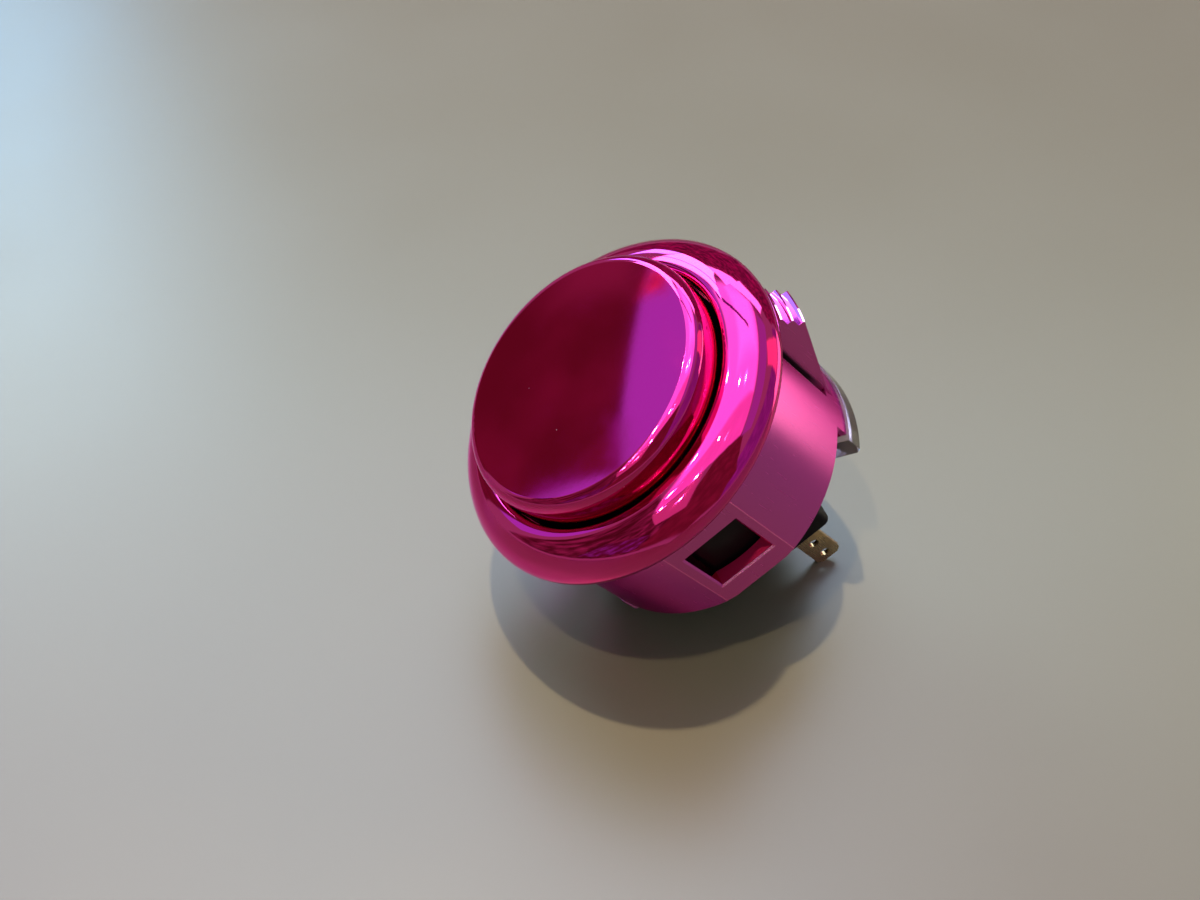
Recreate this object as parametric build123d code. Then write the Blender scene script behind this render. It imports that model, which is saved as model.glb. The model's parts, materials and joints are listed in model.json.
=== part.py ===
from build123d import *
import os
from math import atan2, degrees, sin, sqrt

# Snap-in arcade push button for a 30 mm panel hole.
# Frame: +Z points out of the panel along the plunger axis, and z = 0 is the underside of the rim,
# the plane that seats on the panel. -Y faces one of the two barrel windows. Millimetres.

# Rim
rim_radius = 17.0
rim_edge_radius = 1.6
rim_crown_radius = 13.4
rim_crown_height = 4.4

# Barrel
barrel_radius = 14.75
bore_radius = 12.8
barrel_depth = 12.85
barrel_end_chamfer = 0.25
flat_width = 7.86
window_width = 5.8
window_height = 6.3
window_depth = 4.1
window_chamfer = 0.18

# Snap arms, moulded in the barrel wall
arm_angle = -4.0
arm_width = 4.2
arm_slot = 0.9
arm_root_depth = 11.3
arm_inner_radius = 13.35
arm_foot_radius = 15.0
arm_tip_gap = 0.2
tooth_pitch = 1.0
tooth_step = 0.6
tooth_count = 3
tooth_first_radius = 16.85
tooth_chamfer = 0.12
tongue_depth = 14.4
tongue_angle = 44.0

# Plunger
plunger_travel = 3.0
cap_radius = 12.55
cap_top = 7.95
cap_dome_radius = 220.0
cap_edge_radius = 1.1
cap_skirt_bottom = 3.2
cap_wall = 0.95
cap_top_thickness = 1.15
cap_fit = 0.06
skirt_clearance = 0.3
skirt_wall = 1.4
skirt_bottom = 11.35
skirt_shoulder = 2.8
deck_thickness = 1.3
neck_wall = 1.2
stem_width = 6.4
stem_thickness = 1.3
stem_pad_radius = 3.2
stem_pad_thickness = 1.0
lug_angle = 45.0
lug_width = 3.0
lug_height = 0.95
lug_length = 2.2
lug_side_clearance = 0.3
lug_stop_gap = 0.1

# Clear switch carrier
carrier_thickness = 1.8
carrier_radius = 12.4
carrier_taper = 1.2
ear_radius = 15.0
ear_inner_radius = 11.6
ear_angle = 49.0
ear_height = 2.6
ear_edge_radius = 0.5
tenon_angle = 14.0
tenon_thickness = 0.8
tenon_height = 1.4
tenon_fit = 0.08
frame_wall = 1.3
frame_height = 1.8
finger_width = 4.0
finger_thickness = 1.0
finger_fit = 0.15
hook_depth = 0.6
hook_height = 0.8

# Switch body
switch_width = 11.4
switch_length = 12.4
switch_rear = 24.0
switch_wall = 0.9
switch_floor = 1.2
switch_corner_radius = 0.8
switch_edge_radius = 0.35
switch_fit = 0.1
flange_overhang = 1.0
flange_thickness = 1.0
cover_thickness = 1.4
collar_width = 7.2
collar_height = 0.7
cover_lip_width = 7.0
cover_lip_thickness = 0.7
cover_lip_depth = 0.8

# Switch actuator and its return spring
post_width = 5.0
post_corner_radius = 0.8
post_fit = 0.15
contact_gap_to_stem = 0.05
foot_half_width = 3.6
foot_length = 6.0
foot_thickness = 1.25
foot_stop_gap = 0.05
spring_wire_radius = 0.22
spring_radius = 2.2
spring_turns = 6.5
spring_seat_gap = 0.05
spring_boss_radius = 1.5
spring_boss_height = 1.2

# Terminals and contacts
terminal_width = 2.8
terminal_thickness = 0.5
terminal_x = 2.42
terminal_y = 5.0
terminal_tip = 29.9
terminal_chamfer = 0.5
terminal_hole_radius = 0.5
terminal_hole_first = 1.2
terminal_hole_pitch = 2.3
terminal_fit = 0.05
leaf_x = 3.7
leaf_width = 1.3
leaf_thickness = 0.2
leaf_height = 4.4
leaf_gap = 0.05
leaf_to_terminal = 1.25
upstand_height = 0.8
contact_radius = 0.55
contact_height = 0.4
contact_dome = 0.2
contact_level = 3.3
contact_pad_rise = 1.7
contact_closed_gap = 0.03
cam_gap = 0.06
cam_width = 1.0
cam_thickness = 1.0
cam_overlap = 0.3

# Working values of the model
half_turn = 180.0
cut_reach = 40.0
edge_tolerance = 0.001

# Levels and places that follow from the sizes above
flat_offset = sqrt(barrel_radius**2 - (flat_width / 2) ** 2)
skirt_radius = bore_radius - skirt_clearance
skirt_bore = skirt_radius - skirt_wall
neck_radius = cap_radius - cap_wall - cap_fit
cap_dome_centre = cap_top - cap_dome_radius
cap_underside = cap_top - cap_top_thickness
deck_bottom = cap_skirt_bottom - deck_thickness
lug_top = -skirt_bottom + lug_length
lug_radius = skirt_radius + lug_height
groove_radius = lug_radius + lug_side_clearance
carrier_top = -tongue_depth
carrier_bottom = carrier_top - carrier_thickness
ear_bottom = carrier_top - ear_height
tenon_radius = (bore_radius + barrel_radius) / 2
cover_bottom = carrier_top + flange_thickness
cover_top = cover_bottom + cover_thickness
collar_top = cover_top + collar_height
case_floor = -switch_rear + switch_floor
foot_top = cover_bottom - foot_stop_gap
foot_bottom = foot_top - foot_thickness
post_top = collar_top + plunger_travel + contact_gap_to_stem
stem_bottom = post_top + contact_gap_to_stem
leaf_y = -terminal_y + terminal_thickness / 2 + leaf_to_terminal
leaf_root = case_floor + terminal_thickness + leaf_gap
contact_z = leaf_root + contact_level
contact_open_gap = leaf_to_terminal - leaf_thickness / 2 - 2 * contact_height
leaf_swing = (contact_open_gap - contact_closed_gap) / contact_level
leaf_tip = leaf_root + leaf_height
cam_slope = leaf_height * sin(leaf_swing) / plunger_travel


def revolved(outline, arc=360.0, start=0.0):
    """Turn an outline drawn in radius and height about the plunger axis."""
    return Rot(0, 0, start) * revolve(Plane.XZ * make_face(outline), Axis.Z, arc)


def ring(inner, outer, bottom, top, arc=360.0, middle=0.0):
    """A ring, or a sector of one centred on an angle."""
    outline = Polyline((inner, bottom), (outer, bottom), (outer, top), (inner, top), close=True)
    return revolved(outline, arc, middle - arc / 2)


def block(x_span, y_span, z_span):
    """A box between two values on each axis."""
    size = [high - low for low, high in (x_span, y_span, z_span)]
    middle = [(high + low) / 2 for low, high in (x_span, y_span, z_span)]
    return Pos(*middle) * Box(*size)


def rounded_block(width, length, radius, bottom, top):
    """An upright block with rounded corners, centred on the axis."""
    section = RectangleRounded(width, length, radius)
    return Pos(0, 0, bottom) * extrude(section, top - bottom)


def both_sides(solid):
    """A feature and its copy half a turn round the axis."""
    return [solid, Rot(0, 0, half_turn) * solid]


def rim_and_barrel():
    """Turned form of the housing: bullnose rim with a domed crown, and the barrel below it."""
    edge_centre = (rim_radius - rim_edge_radius, rim_edge_radius)
    reach = edge_centre[0] - rim_crown_radius
    rise = rim_crown_height - rim_edge_radius
    crown = (reach**2 + rise**2 - rim_edge_radius**2) / (2 * (rise - rim_edge_radius))
    crown_centre = (rim_crown_radius, rim_crown_height - crown)
    blend = degrees(atan2(edge_centre[1] - crown_centre[1], reach))
    lip = rim_crown_radius - bore_radius
    lip_centre = (rim_crown_radius, rim_crown_height - lip)
    outline = [
        CenterArc(lip_centre, lip, 90, 90),
        CenterArc(crown_centre, crown, blend, 90 - blend),
        CenterArc(edge_centre, rim_edge_radius, -90, blend + 90),
        Polyline(
            (edge_centre[0], 0),
            (barrel_radius, 0),
            (barrel_radius, -barrel_depth + barrel_end_chamfer),
            (barrel_radius - barrel_end_chamfer, -barrel_depth),
            (bore_radius, -barrel_depth),
            (bore_radius, lip_centre[1]),
        ),
    ]
    return revolved(outline)


def snap_arm():
    """One cantilever arm along +X: stair teeth by the rim, then a long ramp down to its root."""
    root = -arm_root_depth
    points = [(bore_radius, -barrel_depth), (barrel_radius, -barrel_depth), (arm_foot_radius, root)]
    for index in reversed(range(tooth_count)):
        radius = tooth_first_radius + index * tooth_step
        top = -arm_tip_gap - index * tooth_pitch
        points += [(radius, top - tooth_chamfer), (radius - tooth_chamfer, top)]
        if index:
            points.append((radius - tooth_step, top))
    points += [(arm_inner_radius, -arm_tip_gap), (arm_inner_radius, root), (bore_radius, root)]
    swept = revolved(Polyline(*points, close=True), half_turn, -half_turn / 2)
    return swept & block((0, cut_reach), (-arm_width / 2, arm_width / 2), (-cut_reach, 0))


def make_housing():
    """Rim, barrel, tongues and snap arms in one moulding."""
    body = rim_and_barrel()
    tongue = ring(bore_radius, barrel_radius, -tongue_depth, -arm_root_depth, tongue_angle)
    socket = ring(
        tenon_radius - tenon_thickness / 2 - tenon_fit,
        tenon_radius + tenon_thickness / 2 + tenon_fit,
        -cut_reach,
        -tongue_depth + tenon_height + tenon_fit,
        tenon_angle + degrees(2 * tenon_fit / tenon_radius),
    )
    arm_opening = block(
        (0, cut_reach),
        (-arm_width / 2 - arm_slot, arm_width / 2 + arm_slot),
        (-arm_root_depth, 0),
    )
    groove = block(
        (0, groove_radius),
        (-lug_width / 2 - lug_side_clearance, lug_width / 2 + lug_side_clearance),
        (-cut_reach, lug_top + lug_stop_gap),
    )
    flat_cut = block((-flat_width, flat_width), (-cut_reach, -flat_offset), (-cut_reach, 0))
    window = block(
        (-window_width / 2, window_width / 2),
        (-cut_reach, 0),
        (-window_depth - window_height, -window_depth),
    )
    body += both_sides(Rot(0, 0, arm_angle) * tongue)
    body -= both_sides(Rot(0, 0, arm_angle) * arm_opening)
    body -= both_sides(Rot(0, 0, arm_angle) * socket)
    body -= both_sides(Rot(0, 0, lug_angle) * groove)
    body -= both_sides(flat_cut)
    body -= both_sides(window)
    body = chamfer(window_edges(body), window_chamfer)
    return body + both_sides(Rot(0, 0, arm_angle) * snap_arm())


def window_edges(body):
    """The outer edges of both windows, on the barrel's flats."""
    half_width = window_width / 2 + edge_tolerance
    half_height = window_height / 2 + edge_tolerance
    middle = -window_depth - window_height / 2
    return [
        edge
        for edge in body.edges()
        if abs(abs(edge.center().Y) - flat_offset) < edge_tolerance
        and abs(edge.center().X) < half_width
        and abs(edge.center().Z - middle) < half_height
    ]


def make_plunger_cap():
    """Shallow domed shell with a rounded edge, seated on the plunger's neck."""
    edge_x = cap_radius - cap_edge_radius
    edge_z = cap_dome_centre + sqrt((cap_dome_radius - cap_edge_radius) ** 2 - edge_x**2)
    blend = degrees(atan2(edge_z - cap_dome_centre, edge_x))
    inner = cap_radius - cap_wall
    outline = [
        CenterArc((0, cap_dome_centre), cap_dome_radius, blend, 90 - blend),
        CenterArc((edge_x, edge_z), cap_edge_radius, 0, blend),
        Polyline(
            (cap_radius, edge_z),
            (cap_radius, cap_skirt_bottom),
            (inner, cap_skirt_bottom),
            (inner, cap_underside),
            (0, cap_underside),
            (0, cap_top),
        ),
    ]
    return revolved(outline)


def make_plunger_skirt():
    """Skirt with its guide band, deck, neck ring, push stem and two retaining lugs."""
    ledge = cap_radius - skirt_clearance / 2
    outline = Polyline(
        (skirt_bore, -skirt_bottom),
        (skirt_radius, -skirt_bottom),
        (skirt_radius, skirt_shoulder),
        (ledge, skirt_shoulder + skirt_radius - ledge),
        (ledge, cap_skirt_bottom),
        (neck_radius, cap_skirt_bottom),
        (neck_radius, cap_underside),
        (neck_radius - neck_wall, cap_underside),
        (neck_radius - neck_wall, cap_skirt_bottom),
        (0, cap_skirt_bottom),
        (0, deck_bottom),
        (skirt_bore, deck_bottom),
        close=True,
    )
    stem_span = (stem_bottom, deck_bottom)
    stem = [
        block((-stem_width / 2, stem_width / 2), (-stem_thickness / 2, stem_thickness / 2), stem_span),
        block((-stem_thickness / 2, stem_thickness / 2), (-stem_width / 2, stem_width / 2), stem_span),
        ring(0, stem_pad_radius, stem_bottom, stem_bottom + stem_pad_thickness),
    ]
    wall_middle = skirt_radius - skirt_wall / 2
    lug_outline = Polyline(
        (wall_middle, -skirt_bottom),
        (skirt_radius, -skirt_bottom),
        (lug_radius, lug_top - lug_height),
        (lug_radius, lug_top),
        (wall_middle, lug_top),
        close=True,
    )
    lug = extrude(Plane.XZ * make_face(lug_outline), lug_width / 2, both=True)
    return revolved(outline) + stem + both_sides(Rot(0, 0, lug_angle) * lug)


def make_switch_carrier():
    """Clear rear plate with finger ears, tenons for the barrel, and a frame that grips the switch."""
    plate = revolved(
        Polyline(
            (0, carrier_top),
            (carrier_radius, carrier_top),
            (carrier_radius - carrier_taper, carrier_bottom),
            (0, carrier_bottom),
            close=True,
        )
    )
    ear_outline = Polyline(
        (ear_inner_radius, carrier_top),
        (ear_radius, carrier_top),
        (ear_radius, ear_bottom + ear_edge_radius),
        (ear_radius - ear_edge_radius, ear_bottom),
        (ear_inner_radius, ear_bottom),
        close=True,
    )
    ear = revolved(ear_outline, ear_angle, -ear_angle / 2)
    tenon = ring(
        tenon_radius - tenon_thickness / 2,
        tenon_radius + tenon_thickness / 2,
        carrier_top,
        carrier_top + tenon_height,
        tenon_angle,
    )
    opening_width = switch_width + 2 * switch_fit
    opening_length = switch_length + 2 * switch_fit
    frame = rounded_block(
        opening_width + 2 * frame_wall,
        opening_length + 2 * frame_wall,
        switch_corner_radius + frame_wall,
        carrier_bottom - frame_height,
        carrier_bottom,
    )
    opening = rounded_block(
        opening_width, opening_length, switch_corner_radius, -switch_rear, carrier_top
    )
    inner = switch_width / 2 + flange_overhang + finger_fit
    hook_bottom = cover_top + switch_fit / 2
    finger_outline = Polyline(
        (inner, carrier_top),
        (inner + finger_thickness, carrier_top),
        (inner + finger_thickness, hook_bottom + hook_height),
        (inner, hook_bottom + hook_height),
        (inner - hook_depth - finger_fit, hook_bottom),
        (inner, hook_bottom),
        close=True,
    )
    finger = extrude(Plane.XZ * make_face(finger_outline), finger_width / 2, both=True)
    body = plate + both_sides(Rot(0, 0, arm_angle) * ear) + frame - opening
    body += both_sides(Rot(0, 0, arm_angle) * tenon)
    return body + both_sides(finger)


def make_switch_case():
    """Open-topped case with a flange that sits on the carrier and slots for the two terminals."""
    shell = rounded_block(switch_width, switch_length, switch_corner_radius, -switch_rear, cover_bottom)
    shell = fillet(shell.faces().sort_by(Axis.Z)[0].edges(), switch_edge_radius)
    shell += rounded_block(
        switch_width + 2 * flange_overhang,
        switch_length + 2 * flange_overhang,
        switch_corner_radius + flange_overhang,
        carrier_top,
        cover_bottom,
    )
    shell -= block(
        (-switch_width / 2 + switch_wall, switch_width / 2 - switch_wall),
        (-switch_length / 2 + switch_wall, switch_length / 2 - switch_wall),
        (case_floor, 0),
    )
    shell += ring(0, spring_boss_radius, case_floor, case_floor + spring_boss_height)
    half_width = terminal_width / 2 + terminal_fit
    half_thickness = terminal_thickness / 2 + terminal_fit
    for side in (-1, 1):
        middle = side * terminal_y
        shell -= block(
            (terminal_x - half_width, terminal_x + half_width),
            (middle - half_thickness, middle + half_thickness),
            (-cut_reach, case_floor),
        )
    return shell


def make_switch_cover():
    """Lid with a raised collar round the actuator and two lips that drop inside the case."""
    width = switch_width + 2 * flange_overhang
    length = switch_length + 2 * flange_overhang
    lid = rounded_block(width, length, switch_corner_radius + flange_overhang, cover_bottom, cover_top)
    lid += rounded_block(
        collar_width, collar_width, switch_corner_radius + flange_overhang, cover_top, collar_top
    )
    lip_outer = switch_length / 2 - switch_wall - switch_fit
    lip = block(
        (-cover_lip_width / 2, cover_lip_width / 2),
        (lip_outer - cover_lip_thickness, lip_outer),
        (cover_bottom - cover_lip_depth, cover_bottom),
    )
    lid += both_sides(lip)
    hole = post_width + 2 * post_fit
    return lid - rounded_block(hole, hole, post_corner_radius + post_fit, -switch_rear, 0)


def cam_leg():
    """Leg under the actuator's foot whose sloped face pushes the contact leaf aside."""
    start = leaf_y + leaf_thickness / 2 + cam_gap
    low = leaf_tip - cam_overlap
    outline = Polyline(
        (start + cam_slope * cam_overlap, low),
        (start - cam_slope * (foot_bottom - leaf_tip), foot_bottom),
        (start + cam_thickness, foot_bottom),
        (start + cam_thickness, low),
        close=True,
    )
    leg = extrude(Plane.YZ * make_face(outline), cam_width / 2, both=True)
    return Pos(leaf_x, 0, 0) * leg


def make_switch_actuator():
    """Post that the plunger presses, its foot under the cover, spring boss and cam leg."""
    post = rounded_block(post_width, post_width, post_corner_radius, foot_bottom, post_top)
    foot_reach = -leaf_y - leaf_thickness / 2 - cam_gap + cam_slope * (foot_bottom - leaf_tip)
    foot = block(
        (-foot_half_width, leaf_x + cam_width / 2),
        (-max(foot_length / 2, foot_reach), foot_length / 2),
        (foot_bottom, foot_top),
    )
    boss = ring(0, spring_boss_radius, foot_bottom - spring_boss_height, foot_bottom)
    return post + foot + boss + cam_leg()


def make_return_spring():
    """Coil spring between the case floor and the actuator's foot."""
    low = case_floor + spring_seat_gap + spring_wire_radius
    high = foot_bottom - spring_seat_gap - spring_wire_radius
    height = high - low
    helix = Pos(0, 0, low) * Helix(height / spring_turns, height, spring_radius)
    section = Plane(helix @ 0, z_dir=helix % 0) * Circle(spring_wire_radius)
    return sweep(section, path=helix, is_frenet=True)


def terminal_blade(side):
    """Flat connection blade below the case, with chamfered tip corners and two wire holes."""
    low = -terminal_tip
    half = terminal_width / 2
    outline = Polyline(
        (-half, case_floor),
        (-half, low + terminal_chamfer),
        (-half + terminal_chamfer, low),
        (half - terminal_chamfer, low),
        (half, low + terminal_chamfer),
        (half, case_floor),
        close=True,
    )
    blade = make_face(outline)
    for index in range(2):
        level = low + terminal_hole_first + index * terminal_hole_pitch
        blade -= Pos(0, level) * Circle(terminal_hole_radius)
    solid = extrude(Plane.XZ * blade, terminal_thickness / 2, both=True)
    return Pos(terminal_x, side * terminal_y, 0) * solid


def terminal_span(side):
    """Faces of a terminal's plate across its thickness."""
    return (side * terminal_y - terminal_thickness / 2, side * terminal_y + terminal_thickness / 2)


def make_terminal_open():
    """Normally open terminal: blade, and an upright pad inside the case for its contact."""
    pad = block(
        (terminal_x - terminal_width / 2, leaf_x + leaf_width / 2),
        terminal_span(-1),
        (case_floor, contact_z + contact_pad_rise),
    )
    return terminal_blade(-1) + pad


def make_terminal_common():
    """Common terminal: blade, a strip along the case floor, and an upstand that backs the leaf."""
    strip_top = case_floor + terminal_thickness
    leaf_span = (leaf_x - leaf_width / 2, leaf_x + leaf_width / 2)
    backing = leaf_y + leaf_thickness / 2 + leaf_gap
    floor_span = (case_floor, strip_top)
    upstand_span = (backing, backing + terminal_thickness)
    plate = block((terminal_x - terminal_width / 2, leaf_span[1]), terminal_span(1), floor_span)
    strip = block(leaf_span, (backing, terminal_y), floor_span)
    upstand = block(leaf_span, upstand_span, (strip_top, strip_top + upstand_height))
    return terminal_blade(1) + plate + strip + upstand


def make_contact_leaf():
    """Springy strip that carries the moving contact."""
    return block(
        (leaf_x - leaf_width / 2, leaf_x + leaf_width / 2),
        (leaf_y - leaf_thickness / 2, leaf_y + leaf_thickness / 2),
        (leaf_root, leaf_tip),
    )


def contact_rivet():
    """Domed contact head along +Z, standing on z = 0."""
    rim = contact_height - contact_dome
    dome = (contact_radius**2 + contact_dome**2) / (2 * contact_dome)
    spread = degrees(atan2(contact_radius, dome - contact_dome))
    outline = [
        CenterArc((0, contact_height - dome), dome, 90 - spread, spread),
        Polyline((contact_radius, rim), (contact_radius, 0), (0, 0), (0, contact_height)),
    ]
    return revolved(outline)


def make_moving_contact():
    """Contact on the leaf, facing the terminal."""
    seat = Pos(leaf_x, leaf_y - leaf_thickness / 2, contact_z)
    return seat * Rot(90, 0, 0) * contact_rivet()


def make_fixed_contact():
    """Contact on the normally open terminal, facing the leaf."""
    seat = Pos(leaf_x, -terminal_y + terminal_thickness / 2, contact_z)
    return seat * Rot(-90, 0, 0) * contact_rivet()


nodes = {
    "housing": make_housing(),
    "plunger_cap": make_plunger_cap(),
    "plunger_skirt": make_plunger_skirt(),
    "switch_carrier": make_switch_carrier(),
    "switch_case": make_switch_case(),
    "switch_cover": make_switch_cover(),
    "switch_actuator": make_switch_actuator(),
    "return_spring": make_return_spring(),
    "terminal_common": make_terminal_common(),
    "terminal_open": make_terminal_open(),
    "contact_leaf": make_contact_leaf(),
    "moving_contact": make_moving_contact(),
    "fixed_contact": make_fixed_contact(),
}

os.makedirs("parts", exist_ok=True)
for name, solid in nodes.items():
    export_step(solid, f"parts/{name}.step")
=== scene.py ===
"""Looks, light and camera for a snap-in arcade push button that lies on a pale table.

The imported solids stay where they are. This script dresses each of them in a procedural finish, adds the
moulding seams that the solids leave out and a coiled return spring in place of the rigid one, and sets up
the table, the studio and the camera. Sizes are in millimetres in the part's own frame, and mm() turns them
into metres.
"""

from __future__ import annotations

import json
import logging
import math
from dataclasses import dataclass
from enum import Enum

import bmesh
import bpy
from mathutils import Matrix, Vector

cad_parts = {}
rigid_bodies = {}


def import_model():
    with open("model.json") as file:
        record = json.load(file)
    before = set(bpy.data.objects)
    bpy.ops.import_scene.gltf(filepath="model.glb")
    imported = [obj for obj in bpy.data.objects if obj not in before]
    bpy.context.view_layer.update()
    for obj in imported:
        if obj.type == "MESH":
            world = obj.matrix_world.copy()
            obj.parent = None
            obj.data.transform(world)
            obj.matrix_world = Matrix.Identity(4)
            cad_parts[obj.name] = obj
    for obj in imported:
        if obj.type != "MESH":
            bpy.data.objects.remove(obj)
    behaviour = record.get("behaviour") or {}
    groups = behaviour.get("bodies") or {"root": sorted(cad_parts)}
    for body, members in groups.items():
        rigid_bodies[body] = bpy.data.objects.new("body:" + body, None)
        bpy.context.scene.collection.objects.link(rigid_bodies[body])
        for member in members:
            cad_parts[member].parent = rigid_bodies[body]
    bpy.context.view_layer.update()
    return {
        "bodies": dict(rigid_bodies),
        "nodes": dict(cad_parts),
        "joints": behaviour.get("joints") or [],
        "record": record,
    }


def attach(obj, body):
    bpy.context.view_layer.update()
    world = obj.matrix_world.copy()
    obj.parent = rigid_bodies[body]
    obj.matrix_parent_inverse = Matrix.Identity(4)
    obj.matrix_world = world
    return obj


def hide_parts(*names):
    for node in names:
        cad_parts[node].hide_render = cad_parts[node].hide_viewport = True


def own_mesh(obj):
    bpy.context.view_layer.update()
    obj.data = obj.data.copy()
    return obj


log = logging.getLogger("push_button")

MILLIMETRE = 0.001
NOISE_MIDDLE = 0.5
CARD_MIDDLE = 0.5
OVERHEAD_LIMIT = 0.001
Colour = tuple[float, float, float]
Triple = tuple[float, float, float]
Span = tuple[float, float]


class Body(Enum):
    """The bodies that a new piece can ride on."""

    HOUSING = "housing"


class Slot(Enum):
    """The record's material slots that new pieces use."""

    PLATING = "plating"
    SPRING = "spring_steel"


class Role(Enum):
    """What a lamp or card does for the picture."""

    LIGHT = "lights the table and shows in reflections"
    REFLECTION = "only shows in reflections"


def mm(*lengths: float) -> Vector:
    """Turn a point in millimetres into metres."""
    return Vector(lengths) * MILLIMETRE


class Signal:
    """A number on a shader socket. Arithmetic on it adds Math nodes to its graph."""

    def __init__(self, graph: Graph, socket: bpy.types.NodeSocket) -> None:
        """Keep the socket and the graph that it belongs to."""
        self.graph = graph
        self.socket = socket

    def math(self, operation: str, *terms: Signal | float) -> Signal:
        """Add one Math node.

        Args:
            operation: The node's operation.
            terms: Its inputs in order.

        Returns:
            The node's result.
        """
        node = self.graph.node("ShaderNodeMath", {"operation": operation}, dict(enumerate(terms)))
        return Signal(self.graph, node.outputs[0])

    def __add__(self, other: Signal | float) -> Signal:
        """This number plus another."""
        return self.math("ADD", self, other)

    def __radd__(self, other: float) -> Signal:
        """A plain number plus this one."""
        return self.math("ADD", other, self)

    def __sub__(self, other: Signal | float) -> Signal:
        """This number less another."""
        return self.math("SUBTRACT", self, other)

    def __rsub__(self, other: float) -> Signal:
        """A plain number less this one."""
        return self.math("SUBTRACT", other, self)

    def __mul__(self, other: Signal | float) -> Signal:
        """This number times another."""
        return self.math("MULTIPLY", self, other)

    def __rmul__(self, other: float) -> Signal:
        """A plain number times this one."""
        return self.math("MULTIPLY", other, self)

    def __abs__(self) -> Signal:
        """This number without its sign."""
        return self.math("ABSOLUTE", self)

    def root(self) -> Signal:
        """Square root of this number."""
        return self.math("SQRT", self)

    def larger(self, other: Signal | float) -> Signal:
        """The larger of this number and another."""
        return self.math("MAXIMUM", self, other)

    def rise(self, start: float, stop: float) -> Signal:
        """Smooth step over this number.

        Args:
            start: Value where the step leaves 0.
            stop: Value where the step reaches 1.

        Returns:
            The step, from 0 to 1.
        """
        settings = {"interpolation_type": "SMOOTHSTEP"}
        inputs = {"Value": self, "From Min": start, "From Max": stop}
        node = self.graph.node("ShaderNodeMapRange", settings, inputs)
        return Signal(self.graph, node.outputs["Result"])


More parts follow.
